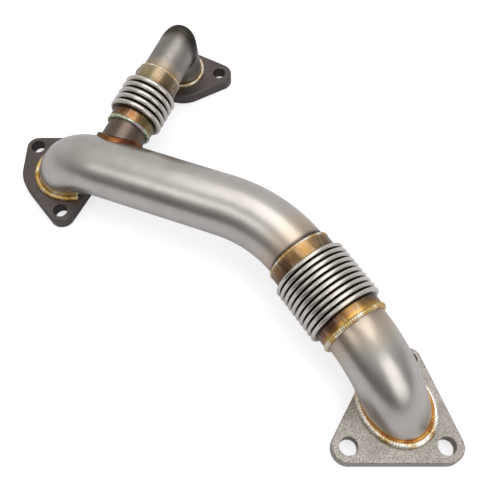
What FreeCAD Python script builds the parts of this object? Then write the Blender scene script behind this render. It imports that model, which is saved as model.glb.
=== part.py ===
"""Turbo up-pipe: two exhaust legs joined by a saddle, each with a bellows, on three flanges.

Millimetres, +Z up.  The part lies on its three flange faces, all on z = 0.  The origin is the centre
of the outlet port on the outlet flange's face.  The pipe is laid out backwards from there: up the
outlet elbow, through the bellows, along the main run, and down to the inlet flange.  The branch
leaves the main run close to the inlet end and drops to its own two-bolt flange.
"""

import FreeCAD
import Part
import math
import os
import Sketcher

V = FreeCAD.Vector
os.makedirs("parts", exist_ok=True)
doc = FreeCAD.newDocument("UpPipe")
sheet = doc.addObject("Spreadsheet::Sheet", "Sizes")

SIZES = [
    # Main tube: 2 inch stainless exhaust tube.
    ("main_tube_od", 50.8),
    ("main_tube_wall", 1.65),
    # Route of the main tube, from the outlet port back to the inlet flange.
    ("outlet_leg_length", 61.7),
    ("outlet_leg_lean", 34.9),
    ("lower_bend_r", 64.9),
    ("lower_run_azimuth", 124.5),
    ("lower_run_pitch", 0.9),
    ("main_bend_r", 128.9),
    ("upper_run_azimuth", 158.5),
    ("upper_run_pitch", -3.5),
    ("upper_run_length", 200.4),
    ("inlet_bend_r", 47.0),
    ("inlet_leg_lean", 7.6),
    # Main bellows, its two weld collars and the flow liner inside it.
    ("bellows_pitch", 4.9),
    ("bellows_count", 10),
    ("bellows_crest_rise", 6.3),
    ("bellows_root_rise", 1.8),
    ("bellows_groove", 1.5),
    ("bellows_wall", 0.6),
    ("upper_collar_length", 12.0),
    ("lower_collar_length", 10.0),
    ("collar_wall", 1.9),
    ("tube_insert", 5.0),
    ("liner_wall", 1.0),
    ("liner_slip_gap", 4.0),
    # Branch tube: 1 3/8 inch tube off the main run.
    ("branch_tube_od", 34.9),
    ("branch_tube_wall", 1.65),
    ("branch_start", 51.1),
    ("branch_azimuth", 64.3),
    ("branch_pitch", 5.4),
    ("branch_length", 131.4),
    ("branch_stub_end", 41.3),
    ("branch_lower_collar_length", 9.7),
    ("branch_bellows_pitch", 6.4),
    ("branch_bellows_count", 5),
    ("branch_bellows_crest_rise", 6.4),
    ("branch_bellows_root_rise", 2.0),
    ("branch_bellows_groove", 2.0),
    ("branch_upper_collar_length", 14.5),
    ("branch_elbow_heel", 5.4),
    ("branch_leg_lean", 17.0),
    ("branch_leg_azimuth", 85.0),
    # Flange plates.
    ("flange_thickness", 12.0),
    ("flange_edge_chamfer", 0.8),
    ("tube_seat", 3.0),
    ("branch_tube_seat", 6.0),
    ("outlet_hole_d", 14.4),
    ("outlet_hole_spacing", 74.1),
    ("outlet_hole_shift_x", -6.55),
    ("outlet_hole_row_y", -23.4),
    ("outlet_tip_hole_x", 7.6),
    ("outlet_tip_hole_y", 43.6),
    ("outlet_lobe_r", 13.2),
    ("outlet_tip_lobe_r", 10.4),
    ("outlet_port_x", -4.5),
    ("outlet_port_y", 3.3),
    ("outlet_port_rim_r", 34.8),
    ("inlet_hole_d", 12.4),
    ("inlet_hole_spacing", 61.5),
    ("inlet_hole_shift_x", 3.2),
    ("inlet_hole_row_y", 26.3),
    ("inlet_tip_hole_x", -0.2),
    ("inlet_tip_hole_y", -39.9),
    ("inlet_lobe_r", 10.2),
    ("inlet_tip_lobe_r", 10.8),
    ("inlet_port_x", -4.0),
    ("inlet_port_y", 2.6),
    ("inlet_port_rim_r", 34.4),
    ("branch_hole_d", 11.6),
    ("branch_hole_spacing", 69.0),
    ("branch_lobe_r", 11.4),
    ("branch_plate_shift_x", 0.1),
    ("branch_plate_shift_y", -7.6),
    ("branch_port_rim_r", 27.4),
    # Weld beads.
    ("flange_bead", 4.6),
    ("branch_flange_bead", 3.6),
    ("inlet_bead_reach", 24.7),
    ("collar_bead", 2.0),
    ("saddle_bead", 3.0),
    # Running clearances between fitted pieces.
    ("collar_fit", 0.1),
    ("weld_fit", 0.05),
    ("socket_fit", 0.2),
]
for row, (alias, value) in enumerate(SIZES, start=1):
    sheet.set("A%d" % row, alias)
    sheet.set("B%d" % row, "%g" % value)
    sheet.setAlias("B%d" % row, alias)
doc.recompute()


def size(alias):
    """The value of one named size."""
    return float(sheet.get(alias))


def value_of(text):
    """Value of an expression over the sheet."""
    if text is None:
        return 0.0
    names = sorted((a for a, _ in SIZES), key=len, reverse=True)
    total = 0.0
    for term in text.replace("- ", "+ -").split("+ "):
        factor = 1.0
        sign = 1.0
        divide = False
        for word in term.split():
            if word == "*":
                divide = False
            elif word == "/":
                divide = True
            else:
                if word.startswith("-"):
                    sign, word = -sign, word[1:]
                number = size(word[1:]) if word.startswith("@") and word[1:] in names else float(word)
                factor = factor / number if divide else factor * number
        total += sign * factor
    return total


def bind(obj, **expressions):
    """Tie properties of an object to expressions over the sheet; @name stands for a size."""
    for name, text in expressions.items():
        obj.setExpression(name, text.replace("@", "Sizes."))
    return obj


def add(kind, name, **expressions):
    return bind(doc.addObject(kind, name), **expressions)


def heading(azimuth, pitch):
    """Unit vector at an azimuth from +X and a pitch above the horizontal, in degrees."""
    a, p = math.radians(azimuth), math.radians(pitch)
    return V(math.cos(a) * math.cos(p), math.sin(a) * math.cos(p), math.sin(p))


def frame_at(origin, x_axis, z_axis):
    """Placement whose local X and Z run along the two given directions."""
    z = V(z_axis).normalize()
    x = (x_axis - z * x_axis.dot(z)).normalize()
    y = z.cross(x)
    m = FreeCAD.Matrix(x.x, y.x, z.x, origin.x, x.y, y.y, z.y, origin.y, x.z, y.z, z.z, origin.z, 0, 0, 0, 1)
    return FreeCAD.Placement(m)


def along(origin, direction):
    """Placement with local Z along a direction and local X as level as it can be."""
    side = direction.cross(V(0, 0, 1))
    if side.Length < 1e-6:
        side = V(1, 0, 0)
    return frame_at(origin, side, direction)


def cylinder(name, radius, start, direction, length):
    """Cylinder of a bound radius; its length is a number of millimetres or an expression."""
    obj = add("Part::Cylinder", name, Radius=radius)
    if isinstance(length, str):
        bind(obj, Height=length)
    else:
        obj.Height = length
    obj.Placement = along(start, direction)
    return obj


def ring(name, outer, inner, start, direction, length):
    """Plain sleeve made from two cylinders."""
    body = add("Part::Cut", name)
    body.Base = cylinder(name + "_outside", outer, start, direction, length)
    body.Tool = cylinder(name + "_inside", inner, start, direction, length)
    return body


def fuse(name, objects):
    joined = add("Part::MultiFuse", name)
    joined.Shapes = objects
    return joined


def cut(name, base, *tools):
    result = add("Part::Cut", name)
    result.Base = base
    result.Tool = tools[0] if len(tools) == 1 else fuse(name + "_tools", list(tools))
    return result


def common(name, *objects):
    result = add("Part::MultiCommon", name)
    result.Shapes = list(objects)
    return result


def slab(name, bottom, top):
    """Wide level slab between two heights, used to trim tube ends to the flange faces."""
    box = add("Part::Box", name)
    reach = 2 * size("upper_run_length")
    box.Length = box.Width = 4 * reach
    box.Height = top - bottom
    box.Placement.Base = V(-2 * reach, -2 * reach, bottom)
    return box


class Bend:
    """Arc that rounds one corner of a route."""

    def __init__(self, before, corner, after, radius):
        a = (before - corner).normalize()
        b = (after - corner).normalize()
        self.turn = math.pi - a.getAngle(b)
        self.radius = radius
        self.tangent = radius * math.tan(self.turn / 2)
        self.start = corner + a * self.tangent
        self.end = corner + b * self.tangent
        inward = (a + b).normalize()
        self.centre = corner + inward * (radius / math.cos(self.turn / 2))
        self.normal = (self.start - self.centre).cross(self.end - self.centre).normalize()

    def down_at(self, height):
        """Where the arc comes down to a height."""
        u = (self.start - self.centre).normalize()
        v = self.normal.cross(u)
        reach = (height - self.centre.z) / (self.radius * math.hypot(u.z, v.z))
        angle = math.atan2(v.z, u.z) + math.acos(reach)
        return self.centre + (u * math.cos(angle) + v * math.sin(angle)) * self.radius

    def elbow(self, name, bend_radius, tube_radius):
        torus = add("Part::Torus", name, Radius1=bend_radius, Radius2=tube_radius)
        torus.Angle3 = math.degrees(self.turn)
        torus.Placement = frame_at(self.centre, self.start - self.centre, self.normal)
        return torus


def tube_solid(name, tube_radius, pieces):
    """Round bar along straight runs (start, end) and bends (Bend, radius expression)."""
    parts = []
    for i, piece in enumerate(pieces):
        label = "%s_%d" % (name, i)
        if isinstance(piece[0], Bend):
            parts.append(piece[0].elbow(label, piece[1], tube_radius))
        else:
            run = piece[1] - piece[0]
            parts.append(cylinder(label, tube_radius, piece[0], run, run.Length))
    return parts[0] if len(parts) == 1 else fuse(name, parts)


# Route of the main tube.
LOWER = heading(size("lower_run_azimuth"), size("lower_run_pitch"))
UPPER = heading(size("upper_run_azimuth"), size("upper_run_pitch"))
outlet_port = V(0, 0, 0)
outlet_up = heading(size("lower_run_azimuth"), 90 - size("outlet_leg_lean"))
corner_low = outlet_port + outlet_up * size("outlet_leg_length")
flex_length = (
    size("lower_collar_length") + size("bellows_pitch") * size("bellows_count") + size("upper_collar_length")
)
low_bend = Bend(outlet_port, corner_low, corner_low + LOWER, size("lower_bend_r"))
flex_start = corner_low + LOWER * low_bend.tangent
flex_end = flex_start + LOWER * flex_length
half_turn = LOWER.getAngle(UPPER) / 2
corner_mid = flex_end + LOWER * (size("main_bend_r") * math.tan(half_turn))
corner_inlet = corner_mid + UPPER * size("upper_run_length")
inlet_down = heading(size("upper_run_azimuth") + 180, size("inlet_leg_lean") - 90)
inlet_port = corner_inlet + inlet_down * (corner_inlet.z / -inlet_down.z)
mid_bend = Bend(corner_low, corner_mid, corner_inlet, size("main_bend_r"))
inlet_bend = Bend(corner_mid, corner_inlet, inlet_port, size("inlet_bend_r"))

MAIN_OUT = "@main_tube_od / 2"
MAIN_IN = "@main_tube_od / 2 - @main_tube_wall"
BRANCH_OUT = "@branch_tube_od / 2"
BRANCH_IN = "@branch_tube_od / 2 - @branch_tube_wall"
SEAT = size("tube_seat")
PLATE = size("flange_thickness")


def inlet_route(insert):
    """Main run: from inside the upper collar round to the inlet flange."""
    pieces = [(flex_end - LOWER * insert, flex_end), (mid_bend, "@main_bend_r")]
    pieces += [(mid_bend.end, inlet_bend.start), (inlet_bend, "@inlet_bend_r")]
    if (inlet_bend.end - inlet_port).dot(inlet_down) < 0:
        pieces.append((inlet_bend.end, inlet_port + inlet_down * PLATE))
    return pieces


def outlet_route(insert):
    """Lower elbow: from below the outlet face up and into the lower collar."""
    below = outlet_port - outlet_up * PLATE
    return [(below, low_bend.start), (low_bend, "@lower_bend_r"), (flex_start, flex_start + LOWER * insert)]


INSERT = size("tube_insert")
BELOW = -2 * size("main_tube_od")
below_seat = slab("below_seat", BELOW, SEAT)
# The inlet bend runs on through the plate, so its seat lies on the arc.
inlet_seat = inlet_bend.down_at(SEAT)
BRANCH_SEAT = size("branch_tube_seat")
below_branch_seat = slab("below_branch_seat", BELOW, BRANCH_SEAT)

# Branch route: off the main run, through its bellows and down to the two-bolt flange.
BRANCH = heading(size("branch_azimuth"), size("branch_pitch"))
branch_root = corner_inlet - UPPER * size("branch_start")
branch_corner = branch_root + BRANCH * size("branch_length")
branch_down = heading(size("branch_leg_azimuth"), size("branch_leg_lean") - 90)
branch_port = branch_corner + branch_down * (branch_corner.z / -branch_down.z)


def branch_at(distance):
    return branch_root + BRANCH * distance


stub_end = size("branch_stub_end")
branch_flex_start = stub_end + size("branch_lower_collar_length")
branch_flex_end = branch_flex_start + size("branch_bellows_pitch") * size("branch_bellows_count")
elbow_start = branch_flex_end + size("branch_upper_collar_length")


# Main pipe: one bent tube with a hole in its side for the branch.
main_outer = tube_solid("main_outer", MAIN_OUT, inlet_route(INSERT))
main_inner = tube_solid("main_inner", MAIN_IN, inlet_route(2 * INSERT))
branch_bore = cylinder("branch_bore", BRANCH_IN, branch_root, BRANCH, 2 * size("main_tube_od"))
main_pipe = cut("main_pipe", main_outer, main_inner, branch_bore, below_seat)

# Lower elbow: down to the outlet flange.
elbow_outer = tube_solid("elbow_outer", MAIN_OUT, outlet_route(INSERT))
elbow_inner = tube_solid("elbow_inner", MAIN_IN, outlet_route(2 * INSERT))
lower_elbow = cut("lower_elbow", elbow_outer, elbow_inner, below_seat)

# Branch stub: short tube, coped to the main pipe's round side.
main_cope = tube_solid("main_cope", MAIN_OUT + " + @weld_fit", inlet_route(INSERT))
stub = cylinder("stub_outer", BRANCH_OUT, branch_root, BRANCH, "@branch_stub_end + @tube_insert")
stub_in = cylinder("stub_inner", BRANCH_IN, branch_root, BRANCH, "@branch_stub_end + 2 * @tube_insert")
branch_stub = cut("branch_stub", stub, stub_in, main_cope)

# Saddle weld: bead in the corner between the stub and the main pipe.
saddle_out = cylinder("saddle_out", BRANCH_OUT + " + @saddle_bead", branch_root, BRANCH, "2 * @main_tube_od")
saddle_over = tube_solid("saddle_over", MAIN_OUT + " + @saddle_bead", inlet_route(INSERT))
saddle_ring = common("saddle_ring", saddle_out, saddle_over)
stub_clear = cylinder("stub_clear", BRANCH_OUT + " + @weld_fit", branch_root, BRANCH, "2 * @main_tube_od")
main_clear = tube_solid("main_clear", MAIN_OUT + " + 2 * @weld_fit", inlet_route(INSERT))
saddle_weld = cut("branch_saddle_weld", saddle_ring, stub_clear, main_clear)


def collar(name, tube, start, direction, length):
    """Plain sleeve over the tube end, which the bellows is welded to."""
    return ring(name, tube + " + @collar_fit + @collar_wall", tube + " + @collar_fit", start, direction, length)


def collar_weld(name, tube, at, direction):
    """Round bead on the tube against a collar's end face; direction points at the collar."""
    torus = add("Part::Torus", name + "_round", Radius1=tube + " + @weld_fit", Radius2="@collar_bead")
    torus.Placement = along(at, direction)
    half = cylinder(name + "_half", tube + " + 3 * @collar_bead", at, direction * -1, "2 * @collar_bead")
    bead = common(name + "_bead", torus, half)
    back = at - direction * (4 * size("collar_bead"))
    bore = cylinder(name + "_bore", tube + " + @weld_fit", back, direction, "8 * @collar_bead")
    return cut(name, bead, bore)


def liner(name, tube, start, direction, length):
    """Thin flow sleeve inside the bellows, fixed at one end only."""
    return ring(name, tube, tube + " - @liner_wall", start, direction, length)


lower_collar = collar("main_bellows_lower_collar", MAIN_OUT, flex_start, LOWER, "@lower_collar_length")
upper_start = flex_end - LOWER * size("upper_collar_length")
upper_collar = collar("main_bellows_upper_collar", MAIN_OUT, upper_start, LOWER, "@upper_collar_length")
lower_weld = collar_weld("lower_elbow_weld", MAIN_OUT, flex_start, LOWER)
upper_weld = collar_weld("main_pipe_weld", MAIN_OUT, flex_end, LOWER * -1)
liner_start = flex_start + LOWER * (INSERT + size("liner_slip_gap"))
liner_end = flex_end - LOWER * INSERT
main_liner = liner("main_bellows_liner", MAIN_OUT, liner_start, LOWER, (liner_end - liner_start).Length)

branch_low_collar = collar(
    "branch_bellows_lower_collar", BRANCH_OUT, branch_at(stub_end), BRANCH, "@branch_lower_collar_length"
)
branch_up_collar = collar(
    "branch_bellows_upper_collar", BRANCH_OUT, branch_at(branch_flex_end), BRANCH, "@branch_upper_collar_length"
)
stub_weld = collar_weld("branch_stub_weld", BRANCH_OUT, branch_at(stub_end), BRANCH)
elbow_weld = collar_weld("branch_elbow_weld", BRANCH_OUT, branch_at(elbow_start), BRANCH * -1)
branch_liner_start = branch_at(stub_end + INSERT)
branch_liner_end = branch_at(elbow_start - INSERT - size("liner_slip_gap"))
branch_liner = liner(
    "branch_bellows_liner",
    BRANCH_OUT,
    branch_liner_start,
    BRANCH,
    (branch_liner_end - branch_liner_start).Length,
)

# Branch elbow: two lengths of tube mitred at the corner, with the sharp heel rounded over.
def branch_elbow_solid(name, tube_radius, extra):
    """Bar along both legs of the mitred elbow."""
    start = branch_at(elbow_start - INSERT - extra)
    run = branch_corner - start
    past = 2 * size("branch_tube_od")
    leg_in = cylinder(name + "_in", tube_radius, start, run, run.Length)
    drop = branch_port + branch_down * PLATE - branch_corner
    leg_down = cylinder(name + "_down", tube_radius, branch_corner, drop, drop.Length)
    long_in = cylinder(name + "_long_in", tube_radius, branch_corner - BRANCH * past, BRANCH, 2 * past)
    long_down = cylinder(name + "_long_down", tube_radius, branch_corner - branch_down * past, branch_down, 2 * past)
    ball = add("Part::Sphere", name + "_heel", Radius=tube_radius + " + @branch_elbow_heel")
    ball.Placement.Base = branch_corner
    knee = common(name + "_knee", long_in, long_down, ball)
    return fuse(name, [leg_in, leg_down, knee])


branch_elbow = cut(
    "branch_elbow",
    branch_elbow_solid("branch_elbow_outer", BRANCH_OUT, 0),
    branch_elbow_solid("branch_elbow_inner", BRANCH_IN, INSERT),
    below_branch_seat,
)


def flat_sketch(body, name, plane="XY_Plane"):
    sketch = body.newObject("Sketcher::SketchObject", name)
    origin = [o for o in body.Origin.OriginFeatures if o.Role == plane][0]
    sketch.AttachmentSupport = (origin, "")
    sketch.MapMode = "FlatFace"
    return sketch


def bound(sketch, text, *constraint):
    """Add a dimension to a sketch and tie it to an expression."""
    index = sketch.addConstraint(Sketcher.Constraint(*constraint))
    sketch.setExpression("Constraints[%d]" % index, text.replace("@", "Sizes."))


def centre_at(sketch, geo, x_text, x_value, y_text, y_value):
    """Place a circle's or an arc's centre by two signed distances from the sketch's origin."""
    if x_text is None:
        sketch.addConstraint(Sketcher.Constraint("PointOnObject", geo, 3, -2))
    else:
        bound(sketch, x_text, "DistanceX", -1, 1, geo, 3, x_value)
    if y_text is None:
        sketch.addConstraint(Sketcher.Constraint("PointOnObject", geo, 3, -1))
    else:
        bound(sketch, y_text, "DistanceY", -1, 1, geo, 3, y_value)


def lobe(x, y, r):
    """One rounded corner of a flange outline: texts for its centre and radius with their values."""
    return (x, value_of(x), y, value_of(y), r, value_of(r))


def hull_lines(lobes):
    """Outer tangent points between neighbouring lobes, anticlockwise."""
    lines = []
    for i, first in enumerate(lobes):
        second = lobes[(i + 1) % len(lobes)]
        a, b = V(first[1], first[3], 0), V(second[1], second[3], 0)
        span = b - a
        tilt = math.asin((first[5] - second[5]) / span.Length)
        base = math.atan2(span.y, span.x) - math.pi / 2 + tilt
        out = V(math.cos(base), math.sin(base), 0)
        lines.append((a + out * first[5], b + out * second[5], base))
    return lines


def flange(name, lobes, holes, port, placement, socket):
    """Plate with rounded corners, bolt holes, a gas port and a stepped seat for the tube."""
    body = doc.addObject("PartDesign::Body", name + "_plate")
    outline = flat_sketch(body, name + "_outline")
    lines = hull_lines(lobes)
    arcs, edges = [], []
    for i, corner in enumerate(lobes):
        start, stop = lines[i - 1][2], lines[i][2]
        if stop < start:
            stop += 2 * math.pi
        circle = Part.Circle(V(corner[1], corner[3], 0), V(0, 0, 1), corner[5])
        arcs.append(outline.addGeometry(Part.ArcOfCircle(circle, start, stop)))
    for start, stop, _ in lines:
        edges.append(outline.addGeometry(Part.LineSegment(start, stop)))
    for i, corner in enumerate(lobes):
        outline.addConstraint(Sketcher.Constraint("Tangent", arcs[i], 2, edges[i], 1))
        outline.addConstraint(Sketcher.Constraint("Tangent", edges[i], 2, arcs[(i + 1) % len(lobes)], 1))
        centre_at(outline, arcs[i], corner[0], corner[1], corner[2], corner[3])
        bound(outline, corner[4], "Radius", arcs[i], corner[5])
    pad = body.newObject("PartDesign::Pad", name + "_pad")
    pad.Profile = outline
    bind(pad, Length="@flange_thickness")
    doc.recompute()
    rims = [
        "Edge%d" % (i + 1)
        for i, edge in enumerate(pad.Shape.Edges)
        if min(abs(edge.BoundBox.ZMin - h) + abs(edge.BoundBox.ZMax - h) for h in (0, PLATE)) < 1e-6
    ]
    bevel = body.newObject("PartDesign::Chamfer", name + "_bevel")
    bevel.Base = (pad, rims)
    bind(bevel, Size="@flange_edge_chamfer")
    drilled = flat_sketch(body, name + "_drilling")
    for x, y, r in holes:
        circle = drilled.addGeometry(Part.Circle(V(value_of(x), value_of(y), 0), V(0, 0, 1), value_of(r)))
        centre_at(drilled, circle, x, value_of(x), y, value_of(y))
        bound(drilled, r, "Radius", circle, value_of(r))
    bores = body.newObject("PartDesign::Pocket", name + "_bores")
    bores.Profile = drilled
    bores.Type = "ThroughAll"
    bores.Reversed = True
    body.Tip = bores
    body.Placement = placement
    return cut(name, body, socket, port)


def port_hole(name, radius, at, seat):
    return cylinder(name, radius, V(at.x, at.y, -1), V(0, 0, 1), seat + 1)


def socket_of(name, radius, pieces, seat_slab):
    """Tube-shaped hole in a plate from the seat up, a little wider than the tube."""
    return cut(name, tube_solid(name + "_tube", radius + " + @socket_fit", pieces), seat_slab)


def seat_point(port, direction, seat):
    """Where a tube's centre line crosses the seat height."""
    return port + direction * (seat / direction.z)


# Outlet flange.
outlet_lobes = [
    lobe("@outlet_hole_shift_x - @outlet_hole_spacing / 2", "@outlet_hole_row_y", "@outlet_lobe_r"),
    lobe("@outlet_hole_shift_x + @outlet_hole_spacing / 2", "@outlet_hole_row_y", "@outlet_lobe_r"),
    lobe("@outlet_tip_hole_x", "@outlet_tip_hole_y", "@outlet_tip_lobe_r"),
    lobe("@outlet_port_x", "@outlet_port_y", "@outlet_port_rim_r"),
]
outlet_holes = [(c[0], c[2], "@outlet_hole_d / 2") for c in outlet_lobes[:3]]
outlet_socket = socket_of("outlet_socket", MAIN_OUT, outlet_route(INSERT), below_seat)
outlet_hole = port_hole("outlet_hole", MAIN_IN, outlet_port, SEAT)
outlet_flange = flange(
    "outlet_flange", outlet_lobes, outlet_holes, outlet_hole, FreeCAD.Placement(), outlet_socket
)

# Inlet flange.
inlet_lobes = [
    lobe("@inlet_tip_hole_x", "@inlet_tip_hole_y", "@inlet_tip_lobe_r"),
    lobe("@inlet_hole_shift_x + @inlet_hole_spacing / 2", "@inlet_hole_row_y", "@inlet_lobe_r"),
    lobe("@inlet_hole_shift_x - @inlet_hole_spacing / 2", "@inlet_hole_row_y", "@inlet_lobe_r"),
    lobe("@inlet_port_x", "@inlet_port_y", "@inlet_port_rim_r"),
]
inlet_holes = [(c[0], c[2], "@inlet_hole_d / 2") for c in inlet_lobes[:3]]
inlet_socket = socket_of("inlet_socket", MAIN_OUT, inlet_route(INSERT), below_seat)
inlet_hole = port_hole("inlet_hole", MAIN_IN, inlet_seat, SEAT)
inlet_flange = flange(
    "inlet_flange", inlet_lobes, inlet_holes, inlet_hole, FreeCAD.Placement(inlet_port, FreeCAD.Rotation()), inlet_socket
)

# Branch flange: two-bolt plate.
branch_lobes = [
    lobe(None, None, "@branch_port_rim_r"),
    lobe("@branch_hole_spacing / 2", None, "@branch_lobe_r"),
    lobe(None, None, "@branch_port_rim_r"),
    lobe("-@branch_hole_spacing / 2", None, "@branch_lobe_r"),
]
branch_holes = [(c[0], None, "@branch_hole_d / 2") for c in (branch_lobes[1], branch_lobes[3])]
branch_route = [(branch_corner, branch_port + branch_down * PLATE)]
branch_socket = socket_of("branch_socket", BRANCH_OUT, branch_route, below_branch_seat)
branch_hole = port_hole("branch_hole", BRANCH_IN, seat_point(branch_port, branch_down, BRANCH_SEAT), BRANCH_SEAT)
plate_at = branch_port + V(size("branch_plate_shift_x"), size("branch_plate_shift_y"), 0)
branch_flange = flange(
    "branch_flange", branch_lobes, branch_holes, branch_hole, FreeCAD.Placement(plate_at, FreeCAD.Rotation()), branch_socket
)


# A flange bead stands on the plate in three passes, each narrower than the one below it.
PASSES = ((0.0, 0.4, 1.0), (0.4, 0.75, 0.78), (0.75, 1.0, 0.44))


def flange_weld(name, radius, bead, pieces, opening=None):
    """Fillet bead round the tube on top of a plate."""
    bands = []
    for i, (bottom, top, width) in enumerate(PASSES):
        layer = slab("%s_layer_%d" % (name, i), PLATE + value_of(bead) * bottom, PLATE + value_of(bead) * top)
        grown = tube_solid("%s_wide_%d" % (name, i), "%s + %g * %s" % (radius, width, bead), pieces)
        bands.append(common("%s_pass_%d" % (name, i), grown, layer))
    tube = tube_solid(name + "_tube", radius + " + @weld_fit", pieces)
    tools = [tube] if opening is None else [tube, opening]
    return cut(name, fuse(name + "_passes", bands), *tools)


outlet_weld = flange_weld("outlet_flange_weld", MAIN_OUT, "@flange_bead", outlet_route(INSERT))
# The inlet bead stays open under the pipe, where a torch can't reach.
inlet_open = add("Part::Box", "inlet_bead_opening")
bind(inlet_open, Length="2 * @main_tube_od", Width="4 * @main_tube_od", Height="4 * @flange_thickness")
level_back = V(-UPPER.x, -UPPER.y, 0).normalize()
sideways = V(-level_back.y, level_back.x, 0) * (2 * size("main_tube_od"))
opening_at = inlet_port + level_back * size("inlet_bead_reach") - sideways
inlet_open.Placement = frame_at(opening_at, level_back, V(0, 0, 1))
inlet_weld = flange_weld("inlet_flange_weld", MAIN_OUT, "@flange_bead", inlet_route(INSERT), inlet_open)


branch_weld = flange_weld("branch_flange_weld", BRANCH_OUT, "@branch_flange_bead", branch_route)


def bellows(name, prefix, tube, start, direction):
    """Row of convolutions with bevelled crests, made by patterning one revolved convolution."""
    pitch, groove = "@%sbellows_pitch" % prefix, "@%sbellows_groove" % prefix
    root = "%s + @%sbellows_root_rise" % (tube, prefix)
    crest = "%s + @%sbellows_crest_rise" % (tube, prefix)
    count = "@%sbellows_count" % prefix
    bore = root + " - @bellows_wall"
    shoulder = "%s - %s / 4 + %s / 4" % (crest, pitch, groove)
    roof = shoulder + " - @bellows_wall / 2"
    low, high = groove + " / 2", "%s - %s / 2" % (pitch, groove)
    slot_low, slot_high = low + " + @bellows_wall", high + " - @bellows_wall"
    corners = [
        (root, "0"),
        (root, low),
        (shoulder, low),
        (crest, "%s / 4 + %s / 4" % (pitch, groove)),
        (crest, "3 * %s / 4 - %s / 4" % (pitch, groove)),
        (shoulder, high),
        (root, high),
        (root, pitch),
        (bore, pitch),
        (bore, slot_high),
        (roof, slot_high),
        (roof, slot_low),
        (bore, slot_low),
        (bore, "0"),
    ]
    body = doc.addObject("PartDesign::Body", name)
    sketch = flat_sketch(body, name + "_profile", "XZ_Plane")
    points = [V(value_of(x), value_of(y), 0) for x, y in corners]
    sides = [sketch.addGeometry(Part.LineSegment(a, b)) for a, b in zip(points, points[1:] + points[:1])]
    for i, side in enumerate(sides):
        sketch.addConstraint(Sketcher.Constraint("Coincident", side, 2, sides[(i + 1) % len(sides)], 1))
        run = points[(i + 1) % len(points)] - points[i]
        if min(abs(run.x), abs(run.y)) < 1e-9:
            sketch.addConstraint(Sketcher.Constraint("Vertical" if abs(run.x) < 1e-9 else "Horizontal", side))
    sketch.addConstraint(Sketcher.Constraint("PointOnObject", sides[0], 1, -1))
    for i, (x, y) in enumerate(corners):
        before = corners[i - 1] if i else (None, None)
        if x != before[0]:
            bound(sketch, x, "DistanceX", -1, 1, sides[i], 1, points[i].x)
        if y != before[1] and y != "0":
            bound(sketch, y, "DistanceY", -1, 1, sides[i], 1, points[i].y)
    turned = body.newObject("PartDesign::Revolution", name + "_convolution")
    turned.Profile = sketch
    turned.ReferenceAxis = (sketch, ["V_Axis"])
    turned.Angle = 360
    doc.recompute()
    row = body.newObject("PartDesign::LinearPattern", name + "_row")
    row.Originals = [turned]
    row.Direction = (sketch, ["V_Axis"])
    bind(row, Length="%s * (%s - 1)" % (pitch, count), Occurrences=count)
    body.Tip = row
    body.Placement = along(start, direction)
    return body


bellows_at = flex_start + LOWER * size("lower_collar_length")
main_bellows = bellows("main_bellows", "", MAIN_OUT, bellows_at, LOWER)
branch_bellows = bellows("branch_bellows", "branch_", BRANCH_OUT, branch_at(branch_flex_start), BRANCH)

doc.recompute()

NODES = {
    "outlet_flange": outlet_flange,
    "outlet_flange_weld": outlet_weld,
    "lower_elbow": lower_elbow,
    "lower_elbow_weld": lower_weld,
    "main_bellows_lower_collar": lower_collar,
    "main_bellows": main_bellows,
    "main_bellows_liner": main_liner,
    "main_bellows_upper_collar": upper_collar,
    "main_pipe_weld": upper_weld,
    "main_pipe": main_pipe,
    "inlet_flange": inlet_flange,
    "inlet_flange_weld": inlet_weld,
    "branch_stub": branch_stub,
    "branch_saddle_weld": saddle_weld,
    "branch_stub_weld": stub_weld,
    "branch_bellows_lower_collar": branch_low_collar,
    "branch_bellows": branch_bellows,
    "branch_bellows_liner": branch_liner,
    "branch_bellows_upper_collar": branch_up_collar,
    "branch_elbow_weld": elbow_weld,
    "branch_elbow": branch_elbow,
    "branch_flange_weld": branch_weld,
    "branch_flange": branch_flange,
}

for obj in doc.Objects:
    if "Invalid" in obj.State or "Error" in obj.State:
        raise RuntimeError("%s failed: %s" % (obj.Name, obj.State))
for label, obj in NODES.items():
    shape = obj.Shape
    if shape.isNull() or not shape.isValid() or len(shape.Solids) != 1:
        raise RuntimeError("%s is not one valid solid" % label)
    obj.Label = label
    print("%-30s %10.1f mm3" % (label, shape.Volume))
for label, obj in NODES.items():
    obj.Shape.exportStep("parts/%s.step" % label)
for label, point in (("inlet port", inlet_seat), ("branch port", branch_port), ("branch plate", plate_at)):
    print(label, [round(c, 2) for c in point])
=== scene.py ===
"""Looks of the turbo up-pipe: satin tube, formed bellows, heat-tinted collars and weld beads."""

import math

import bpy
import bmesh
from mathutils import Matrix, Vector


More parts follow.
